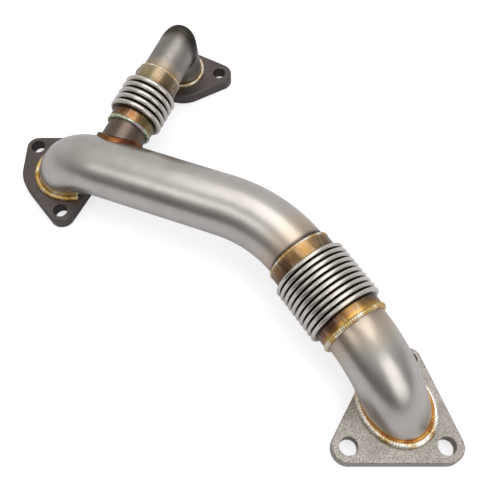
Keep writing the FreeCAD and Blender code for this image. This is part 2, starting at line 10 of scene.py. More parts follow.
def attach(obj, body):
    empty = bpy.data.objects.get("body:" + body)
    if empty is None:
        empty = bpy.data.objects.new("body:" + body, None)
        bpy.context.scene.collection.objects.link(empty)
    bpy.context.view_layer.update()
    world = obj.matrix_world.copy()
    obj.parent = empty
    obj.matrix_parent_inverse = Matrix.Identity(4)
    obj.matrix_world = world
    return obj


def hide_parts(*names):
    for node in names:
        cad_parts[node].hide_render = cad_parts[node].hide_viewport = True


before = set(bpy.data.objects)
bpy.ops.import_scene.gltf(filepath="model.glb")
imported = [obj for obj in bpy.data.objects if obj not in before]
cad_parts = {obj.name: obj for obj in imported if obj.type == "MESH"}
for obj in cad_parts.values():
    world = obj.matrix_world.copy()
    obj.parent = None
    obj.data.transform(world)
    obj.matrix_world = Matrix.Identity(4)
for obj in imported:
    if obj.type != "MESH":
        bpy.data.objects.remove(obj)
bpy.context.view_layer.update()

bl_info = {
    "name": "Turbo up-pipe",
    "version": (1, 0, 0),
    "blender": (4, 5, 0),
    "location": "View3D > Sidebar > Up-pipe",
    "description": "Builds a turbo up-pipe with its tubes, bellows, collars, welds and flanges",
    "category": "Add Mesh",
}

MM = 0.001

# Sizes of the route in millimetres, measured in the photograph with the solved camera.
PLATE = 12.0  # thickness of the three flange plates
MAIN_SEAT = 3.2  # height where the main tube's ends are cut off in their ports
BRANCH_SEAT = 6.2  # the same for the branch elbow
OUTLET_LEG = 61.7  # outlet port to the corner of the lower bend
LOW_BEND = 64.9  # this and the other bends: radius of the centre line
FLEX_LENGTH = 71.0  # lower elbow's end to the main pipe's end
MID_BEND = 128.9
UPPER_RUN = 200.4  # corner of the long bend to the corner over the inlet
INLET_BEND = 47.0
BRANCH_BACK = 51.1  # inlet corner back to the branch
BRANCH_RUN = 131.4  # main tube's centre line to the branch elbow's corner
BRANCH_BEND = 19.0
KNEE_OUT = 1.5  # how far the drawn knee lies beyond the mitre's corner
STUB_END = 41.3  # main tube's centre line to the stub's end
BRANCH_FLEX_END = 97.5  # main tube's centre line to the branch elbow's end
MAIN_COLLAR = 10.0  # length of the collar below the main bellows
BRANCH_COLLAR = 9.7  # length of the collar below the branch bellows
OVERLAP = 5.0  # how far each tube runs on inside its collar
HEEL_SHARPNESS = 15.0  # a higher value draws the heel closer to a mitre

# Collars and bellows sheet, in millimetres.
COLLAR_GAP = 0.1  # between tube and collar
COLLAR_WALL = 2.0  # collar's outside over the tube's
COLLAR_EDGE = 0.4  # round edge beside the bellows
COLLAR_TOE = 0.7  # round edge under the weld
SHEET = 0.6  # bellows sheet under its grooves
CREST_CLEARANCE = 0.01  # keeps a flank's end off the start of its round crest

# Weld beads: core and ripples as shares of the bead's radius, and the ripples' lean in radians.
CORE_SHARE = 0.9
RIPPLE_FLATNESS = 0.62
RIPPLE_LEAN = 0.25
RIPPLE_SIZES = (0.92, 1.14)
INLET_BEAD_REACH = 24.7  # how far under the inlet bend the bead goes, from the port's centre

# How many points go round each kind of piece.
TURNS_TUBE, TURNS_BRANCH, TURNS_COLLAR, TURNS_BELLOWS, TURNS_BEAD = 96, 72, 128, 144, 72
# A level path is looked for between these distances from its middle, in millimetres.
RING_SEARCH, RING_HALVINGS = (1.0, 70.0), 22
SHORTEST_RUN = 1e-6  # millimetres
SAME_POINT = 1e-6  # metres
SLIVER = 1e-7  # metres
SHARP_ANGLE = 50  # degrees

# The camera that the photograph was solved with, in metres, degrees and millimetres.
CAMERA_PLACE = (-0.1177, -0.1394, 0.5795)
CAMERA_TILT = 26.253
CAMERA_FOCAL = 53.77
CAMERA_SENSOR = 36.0
FLOOR_DROP = 0.0002  # metres, so the paper and the plates don't share a surface


def mm(name, description, default):
    return bpy.props.FloatProperty(
        name=name, description=description, default=default * MM, unit="LENGTH", precision=5
    )


def whole(name, description, default):
    return bpy.props.IntProperty(name=name, description=description, default=default)


def colour(name, description, default):
    return bpy.props.StringProperty(name=name, description=description, default=default)


class UpPipeSizes(bpy.types.PropertyGroup):
    """Sizes of the dressed pieces; the plates keep the size they were drawn with."""

    main_radius: mm("Main tube radius", "Outer radius of the main tube", 25.4)
    branch_radius: mm("Branch tube radius", "Outer radius of the branch tube", 17.45)
    tube_wall: mm("Tube wall", "Wall of both tubes", 1.65)
    main_crest: mm("Bellows crest radius", "Crest radius of the main bellows", 31.7)
    main_root: mm("Bellows root radius", "Groove radius of the main bellows", 27.2)
    main_pitch: mm("Bellows pitch", "Distance between two crests", 4.9)
    main_groove: mm("Bellows groove", "Width of a groove of the main bellows", 1.5)
    branch_crest: mm("Branch bellows crest radius", "Crest radius of the branch bellows", 23.9)
    branch_root: mm("Branch bellows root radius", "Groove radius of the branch bellows", 19.45)
    branch_pitch: mm("Branch bellows pitch", "Distance between two crests", 6.4)
    branch_groove: mm("Branch bellows groove", "Width of a groove of the branch bellows", 2.0)
    main_count: whole("Convolutions", "Convolutions of the main bellows", 10)
    branch_count: whole("Branch convolutions", "Convolutions of the branch bellows", 5)


class UpPipeColours(bpy.types.PropertyGroup):
    """Finishes, as sRGB hex."""

    stainless: colour("Stainless", "Satin stainless tube", "D2CDC6")
    bright: colour("Bright stainless", "Formed bellows", "E2DCD3")
    straw: colour("Straw tint", "First colour of the heat tint", "D6C4A8")
    bronze: colour("Bronze tint", "Middle colour of the heat tint", "B4916A")
    scorch: colour("Scorch", "Last colour of the heat tint, beside the weld", "6E4E34")
    bead: colour("Weld bead", "Gold weld bead", "DDBE7C")
    raw_plate: colour("Raw plate", "Outlet flange", "C6C0B8")
    dark_plate: colour("Dark plate", "Inlet and branch flanges", "726A65")


# ---------------------------------------------------------------- route


def heading(azimuth, pitch):
    a, p = math.radians(azimuth), math.radians(pitch)
    return Vector((math.cos(a) * math.cos(p), math.sin(a) * math.cos(p), math.sin(p)))


class Route:
    """Centre line made of straight runs and arcs, in millimetres."""

    def __init__(self, points, radii):
        self.parts = []
        at = points[0]
        for i in range(1, len(points) - 1):
            corner = points[i]
            a = (points[i - 1] - corner).normalized()
            b = (points[i + 1] - corner).normalized()
            turn = math.pi - a.angle(b)
            tangent = radii[i - 1] * math.tan(turn / 2)
            start = corner + a * tangent
            inward = (a + b).normalized()
            centre = corner + inward * (radii[i - 1] / math.cos(turn / 2))
            if (start - at).dot(-a) > SHORTEST_RUN:
                self.parts.append(("run", at, -a, (start - at).length))
            axis = (start - centre).cross(corner + b * tangent - centre).normalized()
            self.parts.append(("arc", centre, start - centre, axis, turn, radii[i - 1] * turn))
            at = corner + b * tangent
        end = points[-1]
        way = (end - points[-2]).normalized()
        if (end - at).dot(way) > SHORTEST_RUN:
            self.parts.append(("run", at, way, (end - at).length))
        self.length = sum(part[-1] for part in self.parts)

    def at(self, distance):
        """Point and direction at a distance along the line."""
        left = distance
        for i, part in enumerate(self.parts):
            if left <= part[-1] or i == len(self.parts) - 1:
                if part[0] == "run":
                    return part[1] + part[2] * left, part[2].copy()
                spin = Matrix.Rotation(part[4] * left / part[-1], 3, part[3])
                arm = spin @ part[2]
                return part[1] + arm, part[3].cross(arm).normalized()
            left -= part[-1]

    def frames(self, step):
        """Evenly spaced stations with a frame that doesn't twist along the line."""
        count = max(2, int(math.ceil(self.length / step)))
        stations = []
        side = None
        for i in range(count + 1):
            s = self.length * i / count
            p, t = self.at(s)
            level = t.orthogonal() if side is None else side - t * side.dot(t)
            side = level.normalized()
            stations.append((s, p, t, side, t.cross(side)))
        return stations


LOWER = heading(124.5, 0.9)
UPPER = heading(158.5, -3.5)
OUTLET_UP = heading(124.5, 55.1)
INLET_DOWN = heading(338.5, -82.4)
BRANCH = heading(64.3, 5.4)
BRANCH_DOWN = heading(85.0, -73.0)


def port_below(corner, way):
    """Where a leg from a corner meets the sealing plane, z = 0."""
    return corner + way * (corner.z / -way.z)


CORNER_LOW = OUTLET_UP * OUTLET_LEG
FLEX_START = CORNER_LOW + LOWER * (LOW_BEND * math.tan(OUTLET_UP.angle(LOWER) / 2))
FLEX_END = FLEX_START + LOWER * FLEX_LENGTH
CORNER_MID = FLEX_END + LOWER * (MID_BEND * math.tan(LOWER.angle(UPPER) / 2))
CORNER_INLET = CORNER_MID + UPPER * UPPER_RUN
INLET_PORT = port_below(CORNER_INLET, INLET_DOWN)
BRANCH_ROOT = CORNER_INLET - UPPER * BRANCH_BACK
STUB_TOP = BRANCH_ROOT + BRANCH * STUB_END
BRANCH_FLEX_TOP = BRANCH_ROOT + BRANCH * BRANCH_FLEX_END
BRANCH_CORNER = BRANCH_ROOT + BRANCH * BRANCH_RUN
BRANCH_PORT = port_below(BRANCH_CORNER, BRANCH_DOWN)
BRANCH_KNEE = BRANCH_CORNER + BRANCH * KNEE_OUT

# Each leg runs on through its port, and the tube is cut off level at its seat.
MAIN_ROUTE = Route(
    [FLEX_END - LOWER * OVERLAP, CORNER_MID, CORNER_INLET, INLET_PORT + INLET_DOWN * 20],
    [MID_BEND, INLET_BEND],
)
ELBOW_ROUTE = Route([FLEX_START + LOWER * OVERLAP, CORNER_LOW, -OUTLET_UP * 14], [LOW_BEND])
BRANCH_ROUTE = Route(
    [BRANCH_FLEX_TOP - BRANCH * OVERLAP, BRANCH_KNEE, BRANCH_PORT + BRANCH_DOWN * 20],
    [BRANCH_BEND],
)


# ---------------------------------------------------------------- meshes


def finish_mesh(name, verts, faces, uvs):
    """Mesh object in metres from points in millimetres, smooth shaded, faces outward."""
    mesh = bpy.data.meshes.new(name)
    mesh.from_pydata([Vector(v) * MM for v in verts], [], faces)
    layer = mesh.uv_layers.new(name="along_around")
    for loop, uv in zip(layer.data, [uv for face in uvs for uv in face]):
        loop.uv = uv
    obj = bpy.data.objects.new(name, mesh)
    bpy.context.scene.collection.objects.link(obj)
    bm = bmesh.new()
    bm.from_mesh(mesh)
    bmesh.ops.remove_doubles(bm, verts=bm.verts, dist=SAME_POINT)
    bmesh.ops.dissolve_degenerate(bm, edges=bm.edges, dist=SLIVER)
    bmesh.ops.recalc_face_normals(bm, faces=bm.faces)
    bm.to_mesh(mesh)
    bm.free()
    mesh.polygons.foreach_set("use_smooth", [True] * len(mesh.polygons))
    mesh.update()
    return obj


def crease(obj):
    """Sharp edges stay sharp under smooth shading."""
    mesh = obj.data
    bm = bmesh.new()
    bm.from_mesh(mesh)
    limit = math.radians(SHARP_ANGLE)
    for edge in bm.edges:
        edge.smooth = not (len(edge.link_faces) == 2 and edge.calc_face_angle(0) > limit)
    bm.to_mesh(mesh)
    bm.free()
    return obj


def skin(rows, lengths=None):
    """Faces between rows of points; u runs along the rows' order, v around each row."""
    verts = [p for row in rows for p in row]
    n = len(rows[0])
    faces, uvs = [], []
    for i in range(len(rows) - 1):
        u0, u1 = (lengths[i], lengths[i + 1]) if lengths else (i, i + 1)
        for j in range(n):
            k = (j + 1) % n
            faces.append((i * n + j, i * n + k, (i + 1) * n + k, (i + 1) * n + j))
            v0, v1 = j / n, (j + 1) / n
            uvs.append(((u0, v0), (u0, v1), (u1, v1), (u1, v0)))
    return verts, faces, uvs


def heel(point, distance, run, arc):
    """Draws the outside of a tight bend out to a rounded heel, as a pressed elbow has."""
    centre, axis, turn, radius = arc[1], arc[3], arc[4], arc[2].length
    angle = (distance - run) / radius
    if not 0 < angle < turn:
        return point
    k = HEEL_SHARPNESS
    near = -math.log(math.exp(-k * angle) + math.exp(-k * (turn - angle))) / k
    arm = point - centre
    along = axis * arm.dot(axis)
    return centre + along + (arm - along) / math.cos(max(near, 0.0))


def swept_tube(name, route, outer, wall, floor, around=TURNS_TUBE, step=2.0, heeled=False):
    """Tube along a route, cut off level at the height of its seat in the plate."""
    rows, lengths = [], []
    stations = route.frames(step)
    for radius in (outer, outer - wall):
        part = []
        for s, p, t, a, b in stations:
            row = []
            for w in turn_angles(around):
                v = p + (a * math.cos(w) + b * math.sin(w)) * radius
                if heeled:
                    v = heel(v, s, route.parts[0][-1], route.parts[1])
                if v.z < floor:
                    v = v + t * ((floor - v.z) / t.z)
                row.append(v)
            part.append((s * MM, row))
        if radius != outer:
            part.reverse()
        for s, row in part:
            rows.append(row)
            lengths.append(s)
    rows.append(rows[0])
    lengths.append(lengths[0])
    return crease(finish_mesh(name, *skin(rows, lengths)))


def turned(name, start, direction, profile):
    """Profile of (distance, radius) pairs, turned round an axis; the profile closes on itself."""
    closed = profile + profile[:1]
    t = direction.normalized()
    rows = [round_ring(start + t * s, direction, r, TURNS_COLLAR) for s, r in closed]
    return finish_mesh(name, *skin(rows, [s * MM for s, _ in closed]))


def turn_angles(around):
    return [2 * math.pi * j / around for j in range(around)]


def round_ring(centre, direction, radius, around=TURNS_BEAD):
    """Points of a circle round an axis."""
    t = direction.normalized()
    a = t.orthogonal().normalized()
    b = t.cross(a)
    return [centre + (a * math.cos(w) + b * math.sin(w)) * radius for w in turn_angles(around)]


def arc_points(s, r, radius, start, stop, count):
    """Points of a rounded corner in a turned profile."""
    points = []
    for i in range(count + 1):
        w = math.radians(start + (stop - start) * i / count)
        points.append((s + radius * math.cos(w), r + radius * math.sin(w)))
    return points


# ---------------------------------------------------------------- materials


def linear(code):
    """Linear colour of an sRGB hex value."""
    out = []
    for i in (0, 2, 4):
        c = int(code[i : i + 2], 16) / 255
        out.append(c / 12.92 if c <= 0.04045 else ((c + 0.055) / 1.055) ** 2.4)
    return (*out, 1.0)


def add(tree, kind, links=None, **settings):
    """One node with its settings; links name an input and what feeds it."""
    node = tree.nodes.new(kind)
    for key, value in settings.items():
        setattr(node, key, value)
    for key, source in (links or {}).items():
        if isinstance(source, bpy.types.NodeSocket):
            tree.links.new(source, node.inputs[key])
        else:
            node.inputs[key].default_value = source
    return node


def new_material(name):
    material = bpy.data.materials.new(name)
    material.use_nodes = True
    tree = material.node_tree
    tree.nodes.clear()
    return material, tree


def close_material(tree, **inputs):
    """Metal surface from its sockets."""
    names = {"base": "Base Color", "rough": "Roughness", "metal": "Metallic", "normal": "Normal"}
    links = {names[key]: value for key, value in inputs.items()}
    links.setdefault("Metallic", 1.0)
    shader = add(tree, "ShaderNodeBsdfPrincipled", links)
    add(tree, "ShaderNodeOutputMaterial", {"Surface": shader.outputs[0]})
    return shader


def ramp(tree, value, stops):
    node = add(tree, "ShaderNodeValToRGB", {"Fac": value})
    while len(node.color_ramp.elements) < len(stops):
        node.color_ramp.elements.new(0.5)
    for element, (position, shade) in zip(node.color_ramp.elements, stops):
        element.position = position
        element.color = shade
    return node.outputs["Color"]


def noise(tree, vector, scale, detail=3.0, rough=0.5):
    links = {"Vector": vector, "Scale": scale, "Detail": detail, "Roughness": rough}
    return add(tree, "ShaderNodeTexNoise", links).outputs["Fac"]


def maths(tree, operation, a, b=0.0, clamp=False):
    settings = {"operation": operation, "use_clamp": clamp}
    return add(tree, "ShaderNodeMath", {0: a, 1: b}, **settings).outputs[0]


def mix(tree, factor, a, b):
    node = tree.nodes.new("ShaderNodeMix")
    node.data_type = "RGBA"
    colour_inputs = [s for s in node.inputs if s.type == "RGBA"]
    for socket, value in zip([node.inputs["Factor"]] + colour_inputs, (factor, a, b)):
        if isinstance(value, bpy.types.NodeSocket):
            tree.links.new(value, socket)
        else:
            socket.default_value = value
    return [s for s in node.outputs if s.type == "RGBA"][0]


def grey(value):
    return (value, value, value, 1.0)


def colour_stops(pairs):
    """Ramp stops from (position, sRGB hex) pairs."""
    return [(position, linear(code)) for position, code in pairs]


def grey_stops(*pairs):
    """Ramp stops from (position, value) pairs."""
    return [(position, grey(value)) for position, value in pairs]


def varied(tree, base, amount, source):
    """A roughness that a pattern raises above its base."""
    return maths(tree, "ADD", maths(tree, "MULTIPLY", source, amount), base)


def centred(tree, source, amount):
    """A pattern that swings as far below nought as above it."""
    return maths(tree, "MULTIPLY", maths(tree, "SUBTRACT", source, 0.5), amount)


def relief(tree, height, strength, depth):
    """Surface relief from a pattern, its depth in metres."""
    links = {"Height": height, "Strength": strength, "Distance": depth}
    return add(tree, "ShaderNodeBump", links).outputs[0]


def along_around(tree):
    """The piece's own map: metres along it in x, turns round it in y."""
    return add(tree, "ShaderNodeUVMap", uv_map="along_around").outputs["UV"]


def object_place(tree):
    return add(tree, "ShaderNodeTexCoord").outputs["Object"]


def stretched(tree, vector, scale):
    return add(tree, "ShaderNodeMapping", {"Vector": vector, "Scale": scale}).outputs["Vector"]


def vectors(tree, operation, a, b=(0.0, 0.0, 0.0), output="Vector"):
    return add(tree, "ShaderNodeVectorMath", {0: a, 1: b}, operation=operation).outputs[output]


def across(tree, place, origin, direction, span):
    """0 to 1 over a span in millimetres centred on a point, along one direction."""
    away = vectors(tree, "SUBTRACT", place, origin * MM)
    share = vectors(tree, "DOT_PRODUCT", away, direction.normalized() / (span * MM), "Value")
    return maths(tree, "ADD", share, 0.5, clamp=True)


def radius_share(tree, place, origin, direction, low, high):
    """0 to 1 between two radii, in millimetres, round an axis."""
    away = vectors(tree, "SUBTRACT", place, origin * MM)
    round_axis = vectors(tree, "CROSS_PRODUCT", away, direction.normalized())
    radius = vectors(tree, "LENGTH", round_axis, output="Value")
    rise = maths(tree, "SUBTRACT", radius, low * MM)
    return maths(tree, "DIVIDE", rise, (high - low) * MM, clamp=True)


def tube_material(name, colours, halos, satin=0.26, light=None, shade="C4BFB8", seams_and_shade=()):
    """Satin stainless tube: polished round its girth, tinted by the heat of the welds at its ends.

    halos lists (distance along the tube, reach, strength) and seams_and_shade (distance, reach), in
    metres; the latter are dark bands, both burnt seams beside joints and painted shade.
    """
    material, tree = new_material(name)
    uv = along_around(tree)
    along = add(tree, "ShaderNodeSeparateXYZ", {"Vector": uv}).outputs["X"]
    # Handling leaves soft clouds about 20 mm wide.
    cloud = noise(tree, object_place(tree), 45.0, 4.0, 0.6)
    # Polishing belt marks run round the tube, about 0.4 mm apart.
    marks = noise(tree, stretched(tree, uv, (900.0, 6.0, 1.0)), 3.0, 2.0, 0.6)
    patches = ramp(tree, cloud, grey_stops((0.4, 0.0), (0.7, 1.0)))
    tone = mix(tree, patches, linear(light or colours.stainless), linear(shade))
    tints = [(0.0, colours.scorch), (0.12, colours.bronze), (0.4, "CDB08C"), (0.8, colours.straw)]
    for at, reach, strength in halos:
        near = maths(tree, "ABSOLUTE", maths(tree, "SUBTRACT", along, at))
        ragged = maths(tree, "ADD", near, centred(tree, cloud, reach * 0.7))
        share = maths(tree, "DIVIDE", ragged, reach)
        mask = ramp(tree, share, grey_stops((0.0, strength), (0.5, strength * 0.8), (1.0, 0.0)))
        tone = mix(tree, mask, tone, ramp(tree, share, colour_stops(tints)))
    # Dark bands in 3A332C: a burnt seam beside a joint, and painted shade on the branch elbow's
    # tight bend.
    for at, reach in seams_and_shade:
        near = maths(tree, "ABSOLUTE", maths(tree, "SUBTRACT", along, at))
        share = maths(tree, "DIVIDE", near, reach)
        burnt = ramp(tree, share, grey_stops((0.0, 0.95), (0.45, 0.9), (1.0, 0.0)))
        tone = mix(tree, burnt, tone, linear("3A332C"))
    bump = relief(tree, marks, 0.05, 0.0002)
    shader = close_material(tree, base=tone, rough=varied(tree, satin, 0.12, marks), normal=bump)
    shader.inputs["Anisotropic"].default_value = 0.2
    return material


def bellows_material(name, colours, origin, direction, root, crest):
    """Bright annealed stainless sheet, formed in rings: clean crests, and painted shade darkening
    the grooves.
    """
    material, tree = new_material(name)
    place = object_place(tree)
    share = radius_share(tree, place, origin, direction, root, crest)
    cloud = noise(tree, place, 160.0, 3.0, 0.6)
    # Painted shade: near black at the groove roots, brightening towards the crests.
    stops = [(0.0, "26221E"), (0.2, "5C554D"), (0.42, "BDB6AC"), (0.6, colours.bright)]
    tone = ramp(tree, share, colour_stops(stops))
    close_material(tree, base=tone, rough=varied(tree, 0.24, 0.06, cloud))
    return material


def collar_material(name, stops, length, sides, origin, flank):
    """Stainless collar tinted by heat in bands from its welded edge, mixed with a ramp across it
    along world x, left to right in the camera's view.
    """
    material, tree = new_material(name)
    uv = along_around(tree)
    along = add(tree, "ShaderNodeSeparateXYZ", {"Vector": uv}).outputs["X"]
    place = object_place(tree)
    streak = noise(tree, stretched(tree, uv, (60.0, 55.0, 1.0)), 1.4, 3.0, 0.7)
    cloud = noise(tree, place, 120.0, 3.0, 0.6)
    share = maths(tree, "MULTIPLY", along, 1 / (length * MM))
    shifted = maths(tree, "ADD", share, centred(tree, cloud, 0.35))
    tone = ramp(tree, shifted, colour_stops(stops))
    # A ramp across the collar along world x, over 40 mm, made ragged by the streaks.
    side = maths(tree, "ADD", across(tree, place, origin, flank, 40.0), centred(tree, streak, 0.3))
    tone = mix(tree, 0.55, tone, ramp(tree, side, colour_stops(sides)))
    pale = ramp(tree, streak, grey_stops((0.52, 0.0), (0.66, 0.45)))
    tone = mix(tree, pale, tone, linear("CFC3AC"))
    close_material(tree, base=tone, rough=varied(tree, 0.2, 0.16, streak))
    return material


def bead_material(name, warm, pale, dark, middle):
    """Weld bead of stainless filler: gold oxide over bright metal, in patches along the run."""
    material, tree = new_material(name)
    place = object_place(tree)
    patch = noise(tree, place, 90.0, 3.0, 0.6)
    fine = noise(tree, place, 700.0, 2.0, 0.6)
    stops = [(0.36, pale), (0.5, middle), (0.62, warm), (0.76, dark)]
    tone = ramp(tree, patch, colour_stops(stops))
    rough = varied(tree, 0.22, 0.25, fine)
    close_material(tree, base=tone, rough=rough, normal=relief(tree, fine, 0.3, 0.0003))
    return material


def plate_material(name, code, dark, rough_base, metal=0.85, strength=0.2):
    """Sawn and ground steel plate: fine grit speckle with a few darker scale spots."""
    material, tree = new_material(name)
    place = object_place(tree)
    # Real grit is finer than a pixel, so it is drawn about 1 mm wide.
    grit = noise(tree, place, 900.0, 2.0, 0.7)
    cloud = noise(tree, place, 60.0, 4.0, 0.6)
    speckle = ramp(tree, grit, grey_stops((0.35, 0.0), (0.65, 1.0)))
    spots = ramp(tree, cloud, grey_stops((0.45, 0.0), (0.75, 0.6)))
    tone = mix(tree, spots, mix(tree, speckle, linear(code), linear(dark)), linear(dark))
    bump = relief(tree, grit, strength, 0.0002)
    rough = varied(tree, rough_base, 0.15, grit)
    close_material(tree, base=tone, rough=rough, metal=metal, normal=bump)
    return material


def dress(obj, material):
    obj.data.materials.clear()
    obj.data.materials.append(material)


def carry(obj, node):
    """The piece stands for a CAD node and rides on the one rigid body."""
    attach(obj, "root")
    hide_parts(node)


# ---------------------------------------------------------------- geometry nodes


def new_tree(name, inputs):
    tree = bpy.data.node_groups.new(name, "GeometryNodeTree")
    tree.interface.new_socket("Geometry", in_out="INPUT", socket_type="NodeSocketGeometry")
    sockets = {}
    for label, kind, value in inputs:
        socket = tree.interface.new_socket(label, in_out="INPUT", socket_type=kind)
        if value is not None:
            socket.default_value = value
        sockets[label] = socket.identifier
    tree.interface.new_socket("Geometry", in_out="OUTPUT", socket_type="NodeSocketGeometry")
    return tree, sockets, tree.nodes.new("NodeGroupInput"), tree.nodes.new("NodeGroupOutput")


def run_tree(obj, tree, sockets, **values):
    """Apply a node tree to an object and keep the result as its plain mesh."""
    modifier = obj.modifiers.new("build", "NODES")
    modifier.node_group = tree
    for label, value in values.items():
        modifier[sockets[label]] = value
    graph = bpy.context.evaluated_depsgraph_get()
    mesh = bpy.data.meshes.new_from_object(obj.evaluated_get(graph))
    obj.modifiers.clear()
    obj.data = mesh


def row_tree():
    """Repeats one convolution along the bellows' axis."""
    inputs = [("Count", "NodeSocketInt", 10), ("Step", "NodeSocketVector", None)]
    tree, sockets, start, end = new_tree("convolution_row", inputs)
    links = {"Count": start.outputs["Count"], "Offset": start.outputs["Step"]}
    line = add(tree, "GeometryNodeMeshLine", links)
    links = {"Points": line.outputs[0], "Instance": start.outputs["Geometry"]}
    copies = add(tree, "GeometryNodeInstanceOnPoints", links)
    real = add(tree, "GeometryNodeRealizeInstances", {"Geometry": copies.outputs[0]})
    links = {"Geometry": real.outputs[0], "Distance": SAME_POINT}
    merged = add(tree, "GeometryNodeMergeByDistance", links)
    smooth = add(tree, "GeometryNodeSetShadeSmooth", {"Geometry": merged.outputs[0]})
    tree.links.new(smooth.outputs[0], end.inputs[0])
    return tree, sockets


def bead_tree():
    """Lays a weld bead along a path: a round core with overlapping ripples."""
    inputs = [
        ("Radius", "NodeSocketFloat", 0.002),
        ("Spacing", "NodeSocketFloat", 0.0016),
        ("Seed", "NodeSocketInt", 3),
    ]
    tree, sockets, start, end = new_tree("weld_bead", inputs)
    radius = start.outputs["Radius"]
    path = add(tree, "GeometryNodeMeshToCurve", {"Mesh": start.outputs["Geometry"]}).outputs[0]
    ring = add(tree, "GeometryNodeCurvePrimitiveCircle", {"Resolution": 12})
    core_size = add(tree, "ShaderNodeMath", {0: radius, 1: CORE_SHARE}, operation="MULTIPLY")
    tree.links.new(core_size.outputs[0], ring.inputs["Radius"])
    core = add(tree, "GeometryNodeCurveToMesh", {"Curve": path, "Profile Curve": ring.outputs[0]})
    links = {"Curve": path, "Length": start.outputs["Spacing"]}
    points = add(tree, "GeometryNodeResampleCurve", links, mode="LENGTH")
    links = {"Segments": 16, "Rings": 8, "Radius": radius}
    ball = add(tree, "GeometryNodeMeshUVSphere", links)
    links = {"Geometry": ball.outputs[0], "Scale": (1.0, 1.0, RIPPLE_FLATNESS)}
    flat = add(tree, "GeometryNodeTransform", links)
    tangent = add(tree, "GeometryNodeInputTangent")
    turn = add(tree, "FunctionNodeAlignRotationToVector", {"Vector": tangent.outputs[0]}, axis="Z")
    links = {"Rotation": turn.outputs[0], "Rotate By": (RIPPLE_LEAN, 0.0, 0.0)}
    tilt = add(tree, "FunctionNodeRotateRotation", links, rotation_space="LOCAL")
    links = {"Seed": start.outputs["Seed"]}
    spread = add(tree, "FunctionNodeRandomValue", links, data_type="FLOAT")
    ends = [s for s in spread.inputs if s.name in ("Min", "Max") and s.type == "VALUE"][:2]
    for socket, value in zip(ends, RIPPLE_SIZES):
        socket.default_value = value
    links = {
        "Points": points.outputs[0],
        "Instance": flat.outputs[0],
        "Rotation": tilt.outputs[0],
        "Scale": [s for s in spread.outputs if s.type == "VALUE"][0],
    }
    ripples = add(tree, "GeometryNodeInstanceOnPoints", links)
    real = add(tree, "GeometryNodeRealizeInstances", {"Geometry": ripples.outputs[0]})
    both = tree.nodes.new("GeometryNodeJoinGeometry")
    tree.links.new(real.outputs[0], both.inputs[0])
    tree.links.new(core.outputs[0], both.inputs[0])
    smooth = add(tree, "GeometryNodeSetShadeSmooth", {"Geometry": both.outputs[0]})
    tree.links.new(smooth.outputs[0], end.inputs[0])
    return tree, sockets


def path_object(name, points, closed=True):
    mesh = bpy.data.meshes.new(name)
    n = len(points)
    edges = [(i, (i + 1) % n) for i in range(n if closed else n - 1)]
    mesh.from_pydata([Vector(p) * MM for p in points], edges, [])
    obj = bpy.data.objects.new(name, mesh)
    bpy.context.scene.collection.objects.link(obj)
    return obj


def lay_bead(name, points, radius, spacing, material, node, closed=True, seed=3):
    tree, sockets = bead_tree()
    obj = path_object(name, points, closed)
    run_tree(obj, tree, sockets, Radius=radius * MM, Spacing=spacing * MM, Seed=seed)
    dress(obj, material)
    carry(obj, node)


def level_ring(route, centre, height, radius, step=1.5):
    """Closed path at one height, a given distance from a route's centre line."""
    count = int(route.length / step)
    stations = [route.at(step * i)[0] for i in range(count + 1)]
    hub = Vector((centre.x, centre.y, height))
    ring = []
    for w in turn_angles(TURNS_BEAD):
        way = Vector((math.cos(w), math.sin(w), 0))
        near, far = RING_SEARCH
        for _ in range(RING_HALVINGS):
            middle = (near + far) / 2
            p = hub + way * middle
            if min((q - p).length for q in stations) < radius:
                near = middle
            else:
                far = middle
        ring.append(hub + way * near)
    return ring


# ---------------------------------------------------------------- operators


class UPPIPE_OT_tubes(bpy.types.Operator):
    """Builds the bent main tube, the lower elbow and the branch elbow, and finishes the stub"""

    bl_idname = "uppipe.tubes"
    bl_label = "Tubes"

    def execute(self, context):
        sizes, colours = context.scene.uppipe_sizes, context.scene.uppipe_colours
        outer, wall = sizes.main_radius / MM, sizes.tube_wall / MM
        main = swept_tube("main_tube", MAIN_ROUTE, outer, wall, MAIN_SEAT)
        halos, seams_and_shade = [(0.005, 0.030, 0.5)], [(0.0055, 0.005)]
        dress(main, tube_material("satin_stainless_main", colours, halos, seams_and_shade=seams_and_shade))
        carry(main, "main_pipe")
        elbow = swept_tube("lower_elbow_tube", ELBOW_ROUTE, outer, wall, MAIN_SEAT)
        dress(elbow, tube_material("satin_stainless_elbow", colours, [(0.005, 0.024, 0.5)]))
        carry(elbow, "lower_elbow")
        radius = sizes.branch_radius / MM
        fineness = {"around": TURNS_BRANCH, "step": 1.0}
        leg = swept_tube(
            "branch_elbow_tube", BRANCH_ROUTE, radius, wall, BRANCH_SEAT, heeled=True, **fineness
        )
        # Painted shade: a dark band halfway round the tight bend, where the bend's outer side turns
        # away from the light.
        mitre = (BRANCH_ROUTE.parts[0][-1] + BRANCH_ROUTE.parts[1][-1] / 2) * MM
        halos, seams_and_shade = [(0.005, 0.012, 0.5)], [(mitre, 0.007)]
        # Painted shade: the branch elbow's tones A6A19A and 8A857D are darker than the main tube's,
        # as little of the softbox reaches it; the material also carries the painted band.
        name = "satin_stainless_branch_painted_shade"
        dress(leg, tube_material(name, colours, halos, 0.38, "A6A19A", "8A857D", seams_and_shade))
        carry(leg, "branch_elbow")
        stub = plate_material("heat_darkened_stub", "7E7268", "6B5C50", 0.26, 1.0, 0.05)
        dress(bpy.data.objects["branch_stub"], stub)
        return {"FINISHED"}


